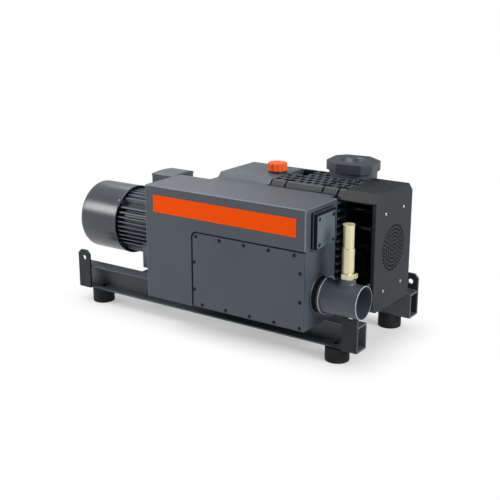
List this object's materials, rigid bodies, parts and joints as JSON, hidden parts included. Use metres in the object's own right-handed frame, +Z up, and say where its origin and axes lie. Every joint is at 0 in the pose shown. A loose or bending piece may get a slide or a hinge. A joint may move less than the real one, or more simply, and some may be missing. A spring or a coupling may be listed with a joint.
{
  "type": "claw compressor",
  "caption": "Belt-free claw compressor: flange motor, gear case, ribbed cylinder and fan hood in line on a channel frame, with a side silencer, pipe and relief valve.",
  "frame": {"origin": "on the floor, midway between the four rubber feet", "axes": "+X from the motor to the fan hood, +Y from the silencer to the rear, +Z up"},
  "size_m": [2.053, 0.9323, 0.946],
  "materials": {
    "frame_paint": "satin dark blue-grey paint",
    "casing_paint": "satin dark blue-grey paint on castings",
    "hood_paint": "satin dark blue-grey paint on sheet",
    "motor_paint": "satin dark blue-grey paint",
    "silencer_paint": "smooth satin dark blue-grey paint",
    "pipe_paint": "satin dark blue-grey paint",
    "stripe_orange": "bright orange, satin",
    "cap_orange": "orange-red plastic",
    "black_plastic": "black plastic",
    "rubber_black": "matt black rubber",
    "seal_rubber": "matt black rubber",
    "coupling_rubber": "red elastomer",
    "bolt_steel": "zinc-plated steel",
    "shaft_steel": "turned steel",
    "gear_steel": "ground steel",
    "bearing_steel": "polished steel",
    "spring_steel": "spring steel",
    "lamination": "stacked sheet steel",
    "claw_iron": "machined cast iron",
    "fan_plastic": "black plastic",
    "sight_glass": "clear oil level glass",
    "brass_pale": "pale, nickel-like brass"
  },
  "bodies": {
    "machine": {"access_plate": "silencer_paint", "bearing_cover": "casing_paint", "bell_housing": "casing_paint", "cable_glands": "black_plastic", "cross_members": "frame_paint", "cylinder": "casing_paint", "discharge_flange": "pipe_paint", "discharge_pipe": "pipe_paint", "end_cover_plate": "silencer_paint", "fan_cowl": "motor_paint", "fan_hood": "hood_paint", "foot_bolts": "bolt_steel", "front_beam": "frame_paint", "gear_case": "casing_paint", "hood_bolts": "bolt_steel", "hood_spacers": "bolt_steel", "inlet_flange": "casing_paint", "inlet_manifold": "casing_paint", "inlet_valve_guide": "claw_iron", "input_seal": "seal_rubber", "lifting_lugs": "frame_paint", "motor_housing": "motor_paint", "motor_shield_drive": "motor_paint", "motor_shield_fan": "motor_paint", "nonreturn_spring": "spring_steel", "oil_drain_plug": "bolt_steel", "oil_filler_neck": "black_plastic", "oil_sight_glass": "sight_glass", "rear_beam": "frame_paint", "relief_spring": "spring_steel", "relief_valve_body": "brass_pale", "relief_valve_bonnet": "brass_pale", "rubber_feet": "rubber_black", "shaft_bearings": "bearing_steel", "side_plate_fan": "casing_paint", "side_plate_gear": "casing_paint", "silencer_baffle": "silencer_paint", "silencer_bolts": "bolt_steel", "silencer_gaskets": "seal_rubber", "silencer_housing": "silencer_paint", "stator": "lamination", "stripe_panel": "stripe_orange", "terminal_box": "motor_paint", "terminal_lid": "motor_paint"},
    "drive_line": {"motor_rotor": "lamination", "motor_fan": "fan_plastic", "coupling_motor_hub": "claw_iron", "coupling_spider": "coupling_rubber", "coupling_drive_hub": "claw_iron", "drive_shaft": "shaft_steel", "drive_gear": "gear_steel", "drive_claw": "claw_iron", "drive_fan": "fan_plastic"},
    "driven_line": {"driven_shaft": "shaft_steel", "driven_gear": "gear_steel", "driven_claw": "claw_iron", "driven_fan": "fan_plastic"},
    "relief_disc": {"relief_poppet": "brass_pale"},
    "inlet_disc": {"nonreturn_disc": "shaft_steel"},
    "filler_cap": {"oil_cap": "cap_orange"}
  },
  "joints": [
    {"name": "drive_spin", "type": "hinge", "parent": "machine", "child": "drive_line", "pos_m": [0.35, -0.042, 0.462], "axis": [1, 0, 0], "continuous": true},
    {"name": "driven_spin", "type": "hinge", "parent": "machine", "child": "driven_line", "pos_m": [0.35, 0.03121, 0.62644], "axis": [1, 0, 0], "continuous": true},
    {"name": "relief_lift", "type": "slide", "parent": "machine", "child": "relief_disc", "axis": [0, 0, 1], "range_m": [0, 0.006], "stiffness_N_per_m": 20000, "springref_m": -0.003, "deforming": ["relief_spring"]},
    {"name": "inlet_drop", "type": "slide", "parent": "machine", "child": "inlet_disc", "axis": [0, 0, -1], "range_m": [0, 0.02], "stiffness_N_per_m": 300, "springref_m": -0.1, "deforming": ["nonreturn_spring"]},
    {"name": "cap_turn", "type": "hinge", "parent": "machine", "child": "filler_cap", "pos_m": [0.249, -0.008, 0.9], "axis": [0, 0, 1], "range_deg": [0, 360]}
  ],
  "couplings": [
    {"joint": "driven_spin", "follows": "drive_spin", "ratio": -1}
  ]
}
